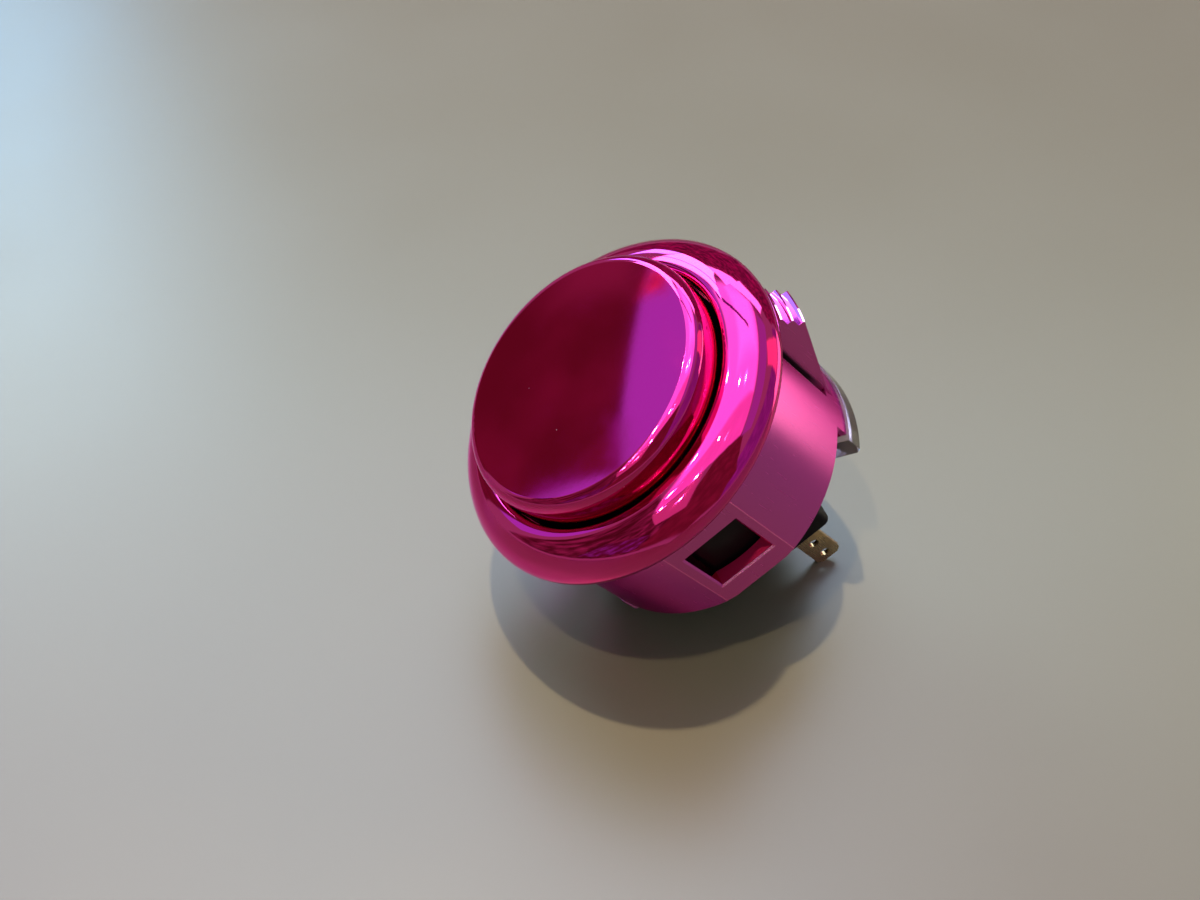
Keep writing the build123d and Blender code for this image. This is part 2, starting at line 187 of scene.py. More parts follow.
class Graph:
    """A node tree that is filled from expressions."""

    # Places of a Mix node's colour sockets, because several of its sockets share a name.
    MIX_SHARE = 0
    MIX_FIRST = 6
    MIX_SECOND = 7
    MIX_RESULT = 2

    def __init__(self, tree: bpy.types.NodeTree) -> None:
        """Take over a tree and empty it."""
        self.tree = tree
        self.tree.nodes.clear()

    def node(
        self,
        kind: str,
        settings: dict[str, object] | None = None,
        inputs: dict[str | int, object] | None = None,
    ) -> bpy.types.Node:
        """Add one node.

        Args:
            kind: The node's type.
            settings: Its own properties, set before its sockets.
            inputs: Values or links for its sockets, by name or index.

        Returns:
            The new node.
        """
        node = self.tree.nodes.new(kind)
        for name, value in (settings or {}).items():
            setattr(node, name, value)
        for key, value in (inputs or {}).items():
            self.feed(node.inputs[key], value)
        return node

    def feed(self, socket: bpy.types.NodeSocket, value: object) -> None:
        """Link a socket to a signal or another socket, or set its value.

        Args:
            socket: The socket to fill.
            value: A signal, a socket, a number, a colour or a vector.
        """
        if isinstance(value, Signal):
            value = value.socket
        if isinstance(value, bpy.types.NodeSocket):
            self.tree.links.new(value, socket)
        elif socket.type == "RGBA":
            socket.default_value = (*value, 1.0)
        else:
            socket.default_value = value

    def millimetres(self) -> bpy.types.NodeSocket:
        """Position on the piece, in millimetres of the part's frame.

        Returns:
            The position's socket.
        """
        place = self.node("ShaderNodeTexCoord").outputs["Object"]
        inputs = {0: place, "Scale": 1 / MILLIMETRE}
        return self.node("ShaderNodeVectorMath", {"operation": "SCALE"}, inputs).outputs[0]

    def parts(self, vector: bpy.types.NodeSocket) -> tuple[Signal, Signal, Signal]:
        """The three numbers of a vector."""
        node = self.node("ShaderNodeSeparateXYZ", None, {0: vector})
        return tuple(Signal(self, socket) for socket in node.outputs)

    def stretched(self, vector: bpy.types.NodeSocket, factors: Triple) -> bpy.types.NodeSocket:
        """A vector times a factor on each axis."""
        node = self.node("ShaderNodeVectorMath", {"operation": "MULTIPLY"}, {0: vector, 1: factors})
        return node.outputs[0]

    def noise(self, vector: bpy.types.NodeSocket, grain: float, detail: float = 2.0) -> Signal:
        """Soft random pattern.

        Args:
            vector: Where the pattern is read, in millimetres.
            grain: Size of its blots in millimetres.
            detail: How many finer layers it has.

        Returns:
            Values about 0.5.
        """
        inputs = {"Vector": vector, "Scale": 1 / grain, "Detail": detail}
        return Signal(self, self.node("ShaderNodeTexNoise", None, inputs).outputs[0])

    def specks(
        self, vector: bpy.types.NodeSocket, spacing: float, radius: float, core: float = 0.6
    ) -> Signal:
        """Sparse round specks.

        Args:
            vector: Where the pattern is read, in millimetres.
            spacing: Usual distance between specks in millimetres.
            radius: Radius of a speck in millimetres.
            core: Share of the radius within which a speck is at full strength.

        Returns:
            1 on a speck and 0 elsewhere.
        """
        inputs = {"Vector": vector, "Scale": 1 / spacing}
        cells = self.node("ShaderNodeTexVoronoi", None, inputs)
        reach = radius / spacing
        return 1 - Signal(self, cells.outputs["Distance"]).rise(core * reach, reach)

    def blend(self, share: Signal, first: object, second: object) -> bpy.types.NodeSocket:
        """Mix two colours.

        Args:
            share: How much of the second colour shows.
            first: Colour or socket at 0.
            second: Colour or socket at 1.

        Returns:
            The mixed colour.
        """
        settings = {"data_type": "RGBA", "clamp_factor": True}
        inputs = {self.MIX_SHARE: share, self.MIX_FIRST: first, self.MIX_SECOND: second}
        return self.node("ShaderNodeMix", settings, inputs).outputs[self.MIX_RESULT]

    def relief(
        self, height: Signal, depth: float, below: bpy.types.NodeSocket | None = None
    ) -> bpy.types.NodeSocket:
        """Bump from a height pattern.

        Args:
            height: The pattern.
            depth: Height of one unit of it, in millimetres.
            below: A normal that this one adds to.

        Returns:
            The bumped normal.
        """
        inputs = {"Height": height, "Strength": 1.0, "Distance": depth * MILLIMETRE}
        if below is not None:
            inputs["Normal"] = below
        return self.node("ShaderNodeBump", None, inputs).outputs[0]

    def principled(self, **inputs: object) -> bpy.types.Node:
        """Add a Principled shader, its sockets named with underscores in place of spaces."""
        named = {key.replace("_", " "): value for key, value in inputs.items()}
        return self.node("ShaderNodeBsdfPrincipled", None, named)

    def close(self, shader: bpy.types.Node) -> None:
        """Make a shader the material's surface."""
        self.node("ShaderNodeOutputMaterial", None, {"Surface": shader.outputs[0]})

    def close_fading(self, shader: bpy.types.Node, gone: Signal) -> None:
        """Make a shader the material's surface, and let it give way to transparency.

        Args:
            shader: The shader of what shows.
            gone: How clear the surface is, from 0 to 1.
        """
        clear = self.node("ShaderNodeBsdfTransparent")
        inputs = {0: gone, 1: shader.outputs[0], 2: clear.outputs[0]}
        self.close(self.node("ShaderNodeMixShader", None, inputs))

    def surface(self, **inputs: object) -> None:
        """Close the tree with one Principled shader."""
        self.close(self.principled(**inputs))


@dataclass(frozen=True)
class Finish:
    """What every finish has: a name, and one material that its pieces share."""

    name: str

    def shade(self, graph: Graph) -> None:
        """Fill the material's node tree."""
        raise NotImplementedError

    def material(self) -> bpy.types.Material:
        """The finish's material, made on first use.

        Returns:
            The material.
        """
        known = bpy.data.materials.get(self.name)
        if known is not None:
            return known
        made = bpy.data.materials.new(self.name)
        made.use_nodes = True
        self.shade(Graph(made.node_tree))
        return made

    def dress(self, piece: bpy.types.Object) -> None:
        """Give a piece this finish.

        Args:
            piece: A CAD node's object or a new piece.
        """
        if not piece.material_slots:
            piece.data.materials.append(None)
        for slot in piece.material_slots:
            slot.material = self.material()
        log.info("%s: %s", piece.name, self.name)


@dataclass(frozen=True)
class PlatedFinish(Finish):
    """Pink plating under clear lacquer, mirror-bright, with faint haze, orange peel and dust."""

    tint: Colour = (0.70, 0.023, 0.22)
    lacquer: float = 0.45
    lacquer_roughness: float = 0.03
    edge_tint: Colour = (1.0, 0.30, 0.72)
    dust_tint: Colour = (0.75, 0.62, 0.66)
    mirror_roughness: float = 0.035
    haze_roughness: float = 0.05
    haze_grain: float = 5.0
    haze_layers: float = 4.0
    haze_range: Span = (0.45, 0.75)
    peel_grain: float = 0.55
    peel_depth: float = 0.0006
    dust_spacing: float = 2.6
    dust_radius: float = 0.05
    dust_roughness: float = 0.4

    def mirror_roughness_at(self, graph: Graph, place: bpy.types.NodeSocket) -> Signal:
        """Roughness of the bright plating, with its haze."""
        haze = graph.noise(place, self.haze_grain, self.haze_layers).rise(*self.haze_range)
        return self.mirror_roughness + haze * self.haze_roughness

    def shade(self, graph: Graph) -> None:
        """Mirror plating all over.

        Args:
            graph: The material's graph.
        """
        place = graph.millimetres()
        dust = graph.specks(place, self.dust_spacing, self.dust_radius)
        graph.surface(
            Base_Color=graph.blend(dust, self.tint, self.dust_tint),
            Metallic=1.0,
            Roughness=self.mirror_roughness_at(graph, place) + dust * self.dust_roughness,
            Specular_Tint=self.edge_tint,
            Coat_Weight=self.lacquer,
            Coat_Roughness=self.lacquer_roughness,
            Normal=graph.relief(graph.noise(place, self.peel_grain), self.peel_depth),
        )


@dataclass(frozen=True)
class BarrelZones:
    """Shares of the housing's skin that differ from mirror plating, some painted highlight and shade."""

    satin: Signal
    unplated_and_shade: Signal
    edge: Signal
    tooth: Signal
    sill: Signal


@dataclass(frozen=True)
class BarrelFinish(PlatedFinish):
    """Plating of the housing, whose outer parts differ from its mirror rim.

    The barrel is satin, the slots beside the snap arms are dark, partly unplated plastic and partly painted
    shade, the tooth tops carry a painted highlight in a paler tint, the windows' lower edges carry a painted
    highlight in a paler pink over small chip bumps, and their sills are crimson plastic with little plating.
    """

    satin_tint: Colour = (0.64, 0.118, 0.40)
    # Painted highlight: a paler pink along the windows' lower edges, where they face the light.
    painted_edge_highlight_tint: Colour = (1.0, 0.42, 0.68)
    # Painted highlight: paler tint of the tooth tops, standing in for the bright reflections they catch.
    painted_tooth_highlight_tint: Colour = (1.0, 0.50, 0.92)
    sill_tint: Colour = (1.0, 0.03, 0.22)
    # Near black in the slots beside the snap arms: partly unplated plastic, partly painted shade.
    unplated_and_painted_shade_tint: Colour = (0.010, 0.004, 0.006)
    satin_roughness: float = 0.27
    bare_roughness: float = 0.5
    satin_grain: float = 0.10
    satin_layers: float = 1.0
    satin_depth: float = 0.0016
    streak_grain: float = 0.16
    streak_layers: float = 3.0
    streak_stretch: float = 0.04
    streak_roughness: float = 0.02
    chip_grain: float = 0.16
    chip_depth: float = 0.12
    satin_from: float = 14.20
    satin_to: float = 19.0
    satin_below: float = -0.03
    arm_angle: float = -4.0
    slot_from: float = 2.08
    slot_to: float = 3.05
    slot_reach: float = 10.0
    slot_bottom: float = -11.35
    bare_to: float = 14.98
    bare_fade: float = 0.3
    bare_taper: float = 3.0
    window_half: float = 2.9
    window_bottom: float = -10.4
    window_top: float = -4.1
    window_edge: float = 0.19
    wall_from: float = 12.0
    wall_to: float = 14.03
    tooth_from: float = 16.6
    tooth_bottom: float = -3.25
    sill_metal: float = 0.2
    edge_softness: float = 0.02

    def inside(self, value: Signal, low: float, high: float) -> Signal:
        """1 where a number lies between two limits, with soft ends."""
        soft = self.edge_softness
        return value.rise(low - soft, low) * (1 - value.rise(high, high + soft))

    def window(self, x: Signal, z: Signal, margin: float) -> Signal:
        """1 within a window's outline, widened by a margin."""
        wide = self.inside(abs(x), 0.0, self.window_half + margin)
        return wide * self.inside(z, self.window_bottom - margin, self.window_top + margin)

    def zones(self, graph: Graph, place: bpy.types.NodeSocket) -> BarrelZones:
        """Where the skin is satin, unplated with painted shade, painted with highlights, or a window sill.

        Args:
            graph: The material's graph.
            place: Position in millimetres.

        Returns:
            The share of each zone.
        """
        x, y, z = graph.parts(place)
        soft = self.edge_softness
        radius = (x * x + y * y).root()
        below = 1 - z.rise(self.satin_below - soft, self.satin_below)
        skin = self.inside(radius, self.satin_from, self.satin_to)
        opening = self.window(x, z, 0.0)
        depth = abs(y)
        framed = self.window(x, z, self.window_edge) * self.inside(depth, self.wall_to, self.satin_to)
        floor = self.inside(z, self.window_bottom - soft, self.window_bottom + soft)
        under = 1 - z.rise(self.window_bottom, self.window_bottom + soft)
        turn = math.radians(self.arm_angle)
        along = abs(x * math.cos(turn) + y * math.sin(turn))
        across = abs(y * math.cos(turn) - x * math.sin(turn))
        slot = self.inside(across, self.slot_from, self.slot_to)
        shaded = z.rise(self.slot_bottom, self.slot_bottom + self.bare_taper)
        cheek = slot * along.rise(self.slot_reach, self.slot_reach + soft)
        stepped = self.inside(radius, self.tooth_from, self.satin_to)
        on_arm = self.inside(across, 0.0, self.slot_from - soft)
        # Tooth tops: mirror plating with a painted highlight.
        tooth = stepped * on_arm * self.inside(z, self.tooth_bottom, self.satin_below)
        return BarrelZones(
            satin=skin.larger(cheek) * below * (1 - tooth),
            # Slots beside the snap arms: unplated, and darkened as painted shade, fading out towards their
            # lower end.
            unplated_and_shade=cheek * shaded * below * (1 - radius.rise(self.bare_to - self.bare_fade, self.bare_to)),
            # Painted highlight along each window's lower edge, in a paler pink.
            edge=(framed - opening).larger(0.0) * under,
            tooth=tooth,
            sill=opening * floor * self.inside(depth, self.wall_from, self.wall_to),
        )

    def shade(self, graph: Graph) -> None:
        """Mirror rim and satin barrel, with painted shade and painted highlights on some zones.

        The slots are unplated plastic with painted shade, the teeth and the windows' lower edges carry
        painted highlights in paler tints, and the sills are crimson.

        Args:
            graph: The material's graph.
        """
        place = graph.millimetres()
        zones = self.zones(graph, place)
        satin, unplated_and_shade = zones.satin, zones.unplated_and_shade
        dust = graph.specks(place, self.dust_spacing, self.dust_radius)
        along = graph.stretched(place, (1.0, 1.0, self.streak_stretch))
        streaks = graph.noise(along, self.streak_grain, self.streak_layers)
        grain = graph.noise(place, self.satin_grain, self.satin_layers)
        plated = graph.blend(satin, self.tint, self.satin_tint)
        # Painted highlight: paler pink along the windows' lower edges.
        plated = graph.blend(zones.edge, plated, self.painted_edge_highlight_tint)
        # Painted highlight: a paler tint on the tooth tops.
        plated = graph.blend(zones.tooth, plated, self.painted_tooth_highlight_tint)
        plated = graph.blend(zones.sill, plated, self.sill_tint)
        # Near black in the arm slots: unplated plastic, and painted shade in their recess.
        colour = graph.blend(unplated_and_shade, graph.blend(dust, plated, self.dust_tint), self.unplated_and_painted_shade_tint)
        dull = self.satin_roughness + (streaks - NOISE_MIDDLE) * self.streak_roughness
        bright = self.mirror_roughness_at(graph, place)
        smooth = bright * (1 - satin) + dull * satin
        peel = graph.relief(graph.noise(place, self.peel_grain), self.peel_depth)
        skin = graph.relief(grain * satin, self.satin_depth, peel)
        chips = graph.noise(place, self.chip_grain) * zones.edge
        graph.surface(
            Base_Color=colour,
            Metallic=(1 - unplated_and_shade) * (1 - zones.sill * (1 - self.sill_metal)),
            Roughness=smooth * (1 - unplated_and_shade) + unplated_and_shade * self.bare_roughness,
            Specular_Tint=self.edge_tint,
            Coat_Weight=self.lacquer * (1 - satin) * (1 - unplated_and_shade),
            Coat_Roughness=self.lacquer_roughness,
            Normal=graph.relief(chips, self.chip_depth, skin),
        )


@dataclass(frozen=True)
class MouldedFinish(Finish):
    """Opaque moulded plastic with a fine spark-eroded grain."""

    tint: Colour = (0.006, 0.006, 0.007)
    worn_tint: Colour = (0.014, 0.013, 0.014)
    dust_tint: Colour = (0.12, 0.11, 0.105)
    gloss: float = 0.10
    roughness: float = 0.34
    roughness_spread: float = 0.22
    grain: float = 0.12
    depth: float = 0.006
    blot: float = 3.5
    blot_layers: float = 5.0
    worn_range: Span = (0.45, 0.8)
    dust_spacing: float = 1.9
    dust_radius: float = 0.06
    dust_cover: float = 0.7
    dust_roughness: float = 0.3

    def shade(self, graph: Graph) -> None:
        """Dark plastic with handling marks, grain and a little dust.

        Args:
            graph: The material's graph.
        """
        place = graph.millimetres()
        blots = graph.noise(place, self.blot, self.blot_layers)
        grain = graph.noise(place, self.grain)
        dust = graph.specks(place, self.dust_spacing, self.dust_radius)
        base = graph.blend(blots.rise(*self.worn_range), self.tint, self.worn_tint)
        marks = (blots - NOISE_MIDDLE) * self.roughness_spread
        graph.surface(
            Base_Color=graph.blend(dust * self.dust_cover, base, self.dust_tint),
            Roughness=self.roughness + marks + dust * self.dust_roughness,
            Specular_IOR_Level=self.gloss,
            Normal=graph.relief(grain, self.depth),
        )


@dataclass(frozen=True)
class ClearFinish(Finish):
    """Clear moulded plastic with faint flow marks."""

    tint: Colour = (0.52, 0.42, 0.46)
    smear_tint: Colour = (0.45, 0.37, 0.40)
    refraction: float = 1.49
    clarity: float = 0.92
    roughness: float = 0.05
    smear_roughness: float = 0.10
    smear_grain: float = 2.4
    smear_layers: float = 4.0
    smear_range: Span = (0.5, 0.8)
    flow_grain: float = 1.3
    flow_layers: float = 1.0
    flow_depth: float = 0.006

    def shade(self, graph: Graph) -> None:
        """Refractive plastic with smears on it and a slightly wavy skin.

        Args:
            graph: The material's graph.
        """
        place = graph.millimetres()
        smear = graph.noise(place, self.smear_grain, self.smear_layers).rise(*self.smear_range)
        flow = graph.noise(place, self.flow_grain, self.flow_layers)
        graph.surface(
            Base_Color=graph.blend(smear, self.tint, self.smear_tint),
            Roughness=self.roughness + smear * self.smear_roughness,
            IOR=self.refraction,
            Transmission_Weight=self.clarity,
            Normal=graph.relief(flow, self.flow_depth),
        )


@dataclass(frozen=True)
class MetalFinish(Finish):
    """Rolled or drawn metal with streaks along one axis and light tarnish."""

    tint: Colour = (0.72, 0.54, 0.26)
    tarnish_tint: Colour = (0.42, 0.30, 0.14)
    roughness: float = 0.27
    streak_roughness: float = 0.22
    streak_grain: float = 0.12
    streak_layers: float = 3.0
    streak_along: Triple = (1.0, 1.0, 0.05)
    streak_depth: float = 0.003
    tarnish_grain: float = 1.6
    tarnish_layers: float = 5.0
    tarnish_range: Span = (0.45, 0.8)
    tarnish_cover: float = 0.6
    tarnish_roughness: float = 0.12

    def shade(self, graph: Graph) -> None:
        """Bare metal with streaks and tarnish.

        Args:
            graph: The material's graph.
        """
        place = graph.millimetres()
        along = graph.stretched(place, self.streak_along)
        streaks = graph.noise(along, self.streak_grain, self.streak_layers)
        tarnish = graph.noise(place, self.tarnish_grain, self.tarnish_layers).rise(*self.tarnish_range)
        drawn = (streaks - NOISE_MIDDLE) * self.streak_roughness
        graph.surface(
            Base_Color=graph.blend(tarnish * self.tarnish_cover, self.tint, self.tarnish_tint),
            Metallic=1.0,
            Roughness=self.roughness + drawn + tarnish * self.tarnish_roughness,
            Normal=graph.relief(streaks, self.streak_depth),
        )


@dataclass(frozen=True)
class TableFinish(Finish):
    """Pale satin table top that fades out at its border and can't be seen from below."""

    tint: Colour = (0.223, 0.230, 0.178)
    mottle_tint: Colour = (0.235, 0.242, 0.188)
    gloss: float = 0.8
    roughness: float = 0.35
    grain: float = 0.25
    depth: float = 0.003
    mottle: float = 30.0
    mottle_layers: float = 3.0
    mottle_roughness: float = 0.1
    fade_from: float = 215.0
    fade_to: float = 255.0

    def shade(self, graph: Graph) -> None:
        """Satin paint, with transparency behind it and round its border.

        Args:
            graph: The material's graph.
        """
        place = graph.millimetres()
        x, y, z = graph.parts(place)
        reach = (x * x + y * y + z * z).root()
        mottle = graph.noise(place, self.mottle, self.mottle_layers)
        grain = graph.noise(place, self.grain)
        paint = graph.principled(
            Base_Color=graph.blend(mottle, self.tint, self.mottle_tint),
            Roughness=self.roughness + (mottle - NOISE_MIDDLE) * self.mottle_roughness,
            Specular_IOR_Level=self.gloss,
            Normal=graph.relief(grain, self.depth),
        )
        behind = Signal(graph, graph.node("ShaderNodeNewGeometry").outputs["Backfacing"])
        graph.close_fading(paint, behind.larger(reach.rise(self.fade_from, self.fade_to)))


@dataclass(frozen=True)
class GlowFinish(Finish):
    """Softly glowing cloth of a studio card, which fades out at its edges."""

    tone: Colour
    blot_tone: Colour
    blot: float = 160.0
    feather: float = 0.04
    blot_layers: float = 3.0
    blot_range: Span = (0.35, 0.8)

    def shade(self, graph: Graph) -> None:
        """Plain emission, so that a card's tone doesn't depend on the lamps.

        Args:
            graph: The material's graph.
        """
        across, along, _ = graph.parts(graph.node("ShaderNodeTexCoord").outputs["UV"])
        blots = graph.noise(graph.millimetres(), self.blot, self.blot_layers).rise(*self.blot_range)
        tone = graph.blend(blots, self.tone, self.blot_tone)
        glow = graph.node("ShaderNodeEmission", None, {"Color": tone, "Strength": 1.0})
        reach = abs(across - CARD_MIDDLE).larger(abs(along - CARD_MIDDLE))
        graph.close_fading(glow, reach.rise(CARD_MIDDLE - self.feather, CARD_MIDDLE))


def new_piece(name: str, shape: bmesh.types.BMesh) -> bpy.types.Object:
    """Turn a bmesh into an object at the origin.

    Args:
        name: Name of the object and its mesh.
        shape: The finished shape, which is freed.

    Returns:
        The linked object.
    """
    mesh = bpy.data.meshes.new(name)
    shape.to_mesh(mesh)
    shape.free()
    piece = bpy.data.objects.new(name, mesh)
    bpy.context.scene.collection.objects.link(piece)
    return piece


@dataclass
class Housing:
    """The plated rim and barrel, and the moulding seams beside its flats, tinted paler as a painted
    highlight.
    """

    barrel_radius: float = 14.75
    flat_width: float = 7.86
    seam_width: float = 0.10
    seam_height: float = 0.035
    seam_top: float = -0.15
    seam_bottom: float = -12.55
    seam_rounding: float = 0.021
    seam_segments: int = 2
    plating: BarrelFinish = BarrelFinish("pink_plating_barrel")
    # The seams are raised lines; their paler tint is a painted highlight.
    seam_plating_with_painted_highlight: PlatedFinish = PlatedFinish(
        "pink_plating_seam", mirror_roughness=0.22, tint=(0.95, 0.22, 0.55)
    )

    def flat_offset(self) -> float:
        """Distance of a flat from the axis."""
        return math.sqrt(self.barrel_radius**2 - (self.flat_width / 2) ** 2)

    def seams(self) -> bpy.types.Object:
        """Fine raised lines along both edges of both flats.

        Returns:
            One piece that holds the four lines.
        """
        shape = bmesh.new()
        length = self.seam_top - self.seam_bottom
        middle = (self.seam_top + self.seam_bottom) / 2
        for side_x in (-1, 1):
            for side_y in (-1, 1):
                made = bmesh.ops.create_cube(shape, size=1.0)["verts"]
                size = mm(self.seam_width, 2 * self.seam_height, length)
                centre = mm(side_x * self.flat_width / 2, side_y * self.flat_offset(), middle)
                bmesh.ops.scale(shape, vec=size, verts=made)
                bmesh.ops.translate(shape, vec=centre, verts=made)
        upright = [edge for edge in shape.edges if abs((edge.verts[0].co - edge.verts[1].co).z) > 0]
        bmesh.ops.bevel(
            shape,
            geom=upright,
            offset=self.seam_rounding * MILLIMETRE,
            affect="EDGES",
            segments=self.seam_segments,
            profile=0.5,
            material=-1,
        )
        piece = new_piece("flat_seams", shape)
        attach(piece, Body.HOUSING.value)
        return piece

    def build(self, nodes: dict[str, bpy.types.Object]) -> None:
        """Dress the housing and add its seams.

        Args:
            nodes: The CAD nodes by name.
        """
        self.plating.dress(nodes["housing"])
        self.seam_plating_with_painted_highlight.dress(self.seams())


@dataclass
class Plunger:
    """The mirror cap and the black skirt that carries it."""

    cap_plating: PlatedFinish = PlatedFinish("pink_plating_cap", mirror_roughness=0.055)
    skirt_plastic: MouldedFinish = MouldedFinish("black_skirt_plastic")

    def build(self, nodes: dict[str, bpy.types.Object]) -> None:
        """Dress the cap and the skirt.

        Args:
            nodes: The CAD nodes by name.
        """
        self.cap_plating.dress(nodes["plunger_cap"])
        self.skirt_plastic.dress(nodes["plunger_skirt"])


@dataclass
class Switch:
    """The clear carrier, the switch body and everything inside it, with a coiled return spring."""

    coil_radius: float = 2.2
    wire_radius: float = 0.22
    coil_turns: float = 6.5
    coil_bottom: float = -22.53
    coil_top: float = -14.97
    steps_per_turn: int = 32
    wire_segments: int = 12
    spring_seat: float = -22.8
    spring_space: float = 8.1
    actuator_travel: float = 3.0
    clear: ClearFinish = ClearFinish("clear_carrier_plastic")
    black: MouldedFinish = MouldedFinish("black_switch_plastic", roughness=0.42, grain=0.09)
    brass: MetalFinish = MetalFinish("terminal_brass")
    steel: MetalFinish = MetalFinish(
        "spring_steel", tint=(0.60, 0.60, 0.60), tarnish_tint=(0.42, 0.41, 0.40), roughness=0.24
    )
    bronze: MetalFinish = MetalFinish(
        "leaf_bronze", tint=(0.70, 0.46, 0.28), tarnish_tint=(0.46, 0.28, 0.16), roughness=0.22
    )
    silver: MetalFinish = MetalFinish(
        "contact_silver", tint=(0.78, 0.77, 0.74), tarnish_tint=(0.55, 0.53, 0.50), roughness=0.20
    )

    def coil(self) -> bpy.types.Object:
        """Return spring in place of the rigid one.

        Returns:
            The spring's coil.
        """
        shape = bmesh.new()
        made = bmesh.ops.create_circle(
            shape, cap_ends=True, segments=self.wire_segments, radius=self.wire_radius * MILLIMETRE
        )["verts"]
        upright = Matrix.Rotation(math.radians(90.0), 4, "X")
        start = Matrix.Translation(mm(self.coil_radius, 0.0, self.coil_bottom))
        bmesh.ops.transform(shape, matrix=start @ upright, verts=made)
        steps = round(self.coil_turns * self.steps_per_turn)
        bmesh.ops.spin(
            shape,
            geom=shape.verts[:] + shape.edges[:] + shape.faces[:],
            axis=(0.0, 0.0, 1.0),
            dvec=mm(0.0, 0.0, (self.coil_top - self.coil_bottom) / steps),
            angle=math.tau * self.coil_turns,
            steps=steps,
        )
        bmesh.ops.recalc_face_normals(shape, faces=shape.faces[:])
        piece = new_piece("return_spring_coil", shape)
        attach(piece, Body.HOUSING.value)
        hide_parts("return_spring")
        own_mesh(piece)
        return piece

    def build(self, nodes: dict[str, bpy.types.Object]) -> None:
        """Dress every piece of the switch and add the spring's coil.

        Args:
            nodes: The CAD nodes by name.
        """
        finishes = {
            "switch_carrier": self.clear,
            "switch_case": self.black,
            "switch_cover": self.black,
            "switch_actuator": self.black,
            "return_spring": self.steel,
            "terminal_common": self.brass,
            "terminal_open": self.brass,
            "contact_leaf": self.bronze,
            "moving_contact": self.silver,
            "fixed_contact": self.silver,
        }
        for name, finish in finishes.items():
            finish.dress(nodes[name])
        self.steel.dress(self.coil())


@dataclass
class PhotoCamera:
    """Camera at the photograph's viewing angle, level with the table but for a slight roll."""

    eye: Triple = (31.63, -92.46, 95.33)
    aim: Triple = (-3.83, -1.41, 0.08)
    roll_degrees: float = 0.84
    lens: float = 45.0
    sensor: float = 36.0
    near: float = 5.0
    far: float = 20000.0

    def build(self, up: Vector) -> bpy.types.Object:
        """Make the scene's camera.

        Args:
            up: Direction away from the table.

        Returns:
            The camera.
        """
        forward = (mm(*self.aim) - mm(*self.eye)).normalized()
        level = forward.cross(up).normalized()
        right = Matrix.Rotation(math.radians(self.roll_degrees), 3, forward) @ level
        above = right.cross(forward)
        data = bpy.data.cameras.new("photo_camera")
        data.sensor_fit = "HORIZONTAL"
        data.sensor_width = self.sensor
        data.lens = self.lens
        data.clip_start = self.near * MILLIMETRE
        data.clip_end = self.far * MILLIMETRE
        camera = bpy.data.objects.new("photo_camera", data)
        turn = Matrix((right, above, -forward)).transposed().to_4x4()
        camera.matrix_world = Matrix.Translation(mm(*self.eye)) @ turn
        bpy.context.scene.collection.objects.link(camera)
        bpy.context.scene.camera = camera
        return camera


@dataclass
class TableAxes:
    """The table's own directions, with bearings measured from straight away from the camera."""

    up: Vector
    right: Vector
    away: Vector
    foot: Vector

    @classmethod
    def under(cls, up: Vector, eye: Vector, lowest: float) -> TableAxes:
        """Axes of the table that the button lies on.

        Args:
            up: Direction away from the table.
            eye: Where the camera stands.
            lowest: How far the table lies along that direction.

        Returns:
            The axes, with their foot under the part's origin.
        """
        away = -(eye - up * eye.dot(up)).normalized()
        return cls(up, away.cross(up), away, up * lowest)

    def towards(self, bearing: float, height: float) -> Vector:
        """Direction of a place round the table.

        Args:
            bearing: Angle to the right of straight away from the camera, in degrees.
            height: Angle over the table, in degrees.

        Returns:
            The unit vector.
        """
        turn = math.radians(bearing)
        lift = math.radians(height)
        level = self.right * math.sin(turn) + self.away * math.cos(turn)
        return level * math.cos(lift) + self.up * math.sin(lift)

    def point(self, right: float, away: float, up: float) -> Vector:
        """A point given in millimetres along the table's axes."""
        return self.foot + (self.right * right + self.away * away + self.up * up) * MILLIMETRE

    def facing(self, place: Vector) -> Matrix:
        """Placement of a panel that faces the button.

        Args:
            place: The panel's centre.

        Returns:
            A matrix whose own Z axis points from the button to the panel.
        """
        out = (place - self.foot).normalized()
        side = self.up.cross(out)
        if side.length < OVERHEAD_LIMIT:
            side = self.right.copy()
        side.normalize()
        turn = Matrix((side, out.cross(side), out)).transposed().to_4x4()
        return Matrix.Translation(place) @ turn


@dataclass
class Lamp:
    """A round lamp of the studio that faces the button, given by the brightness of its lit face."""

    name: str
    bearing: float
    height: float
    distance: float
    diameter: float
    brightness: float
    tint: Colour
    role: Role = Role.LIGHT

    def build(self, axes: TableAxes) -> bpy.types.Object:
        """Make the lamp.

        Args:
            axes: The table's axes.

        Returns:
            The lamp.
        """
        data = bpy.data.lights.new(self.name, "AREA")
        data.shape = "DISK"
        data.size = self.diameter * MILLIMETRE
        data.energy = self.brightness * (math.pi * data.size / 2) ** 2
        data.color = self.tint
        lamp = bpy.data.objects.new(self.name, data)
        place = axes.foot + axes.towards(self.bearing, self.height) * self.distance * MILLIMETRE
        lamp.matrix_world = axes.facing(place)
        lamp.visible_camera = False
        lamp.visible_diffuse = self.role is Role.LIGHT
        bpy.context.scene.collection.objects.link(lamp)
        return lamp


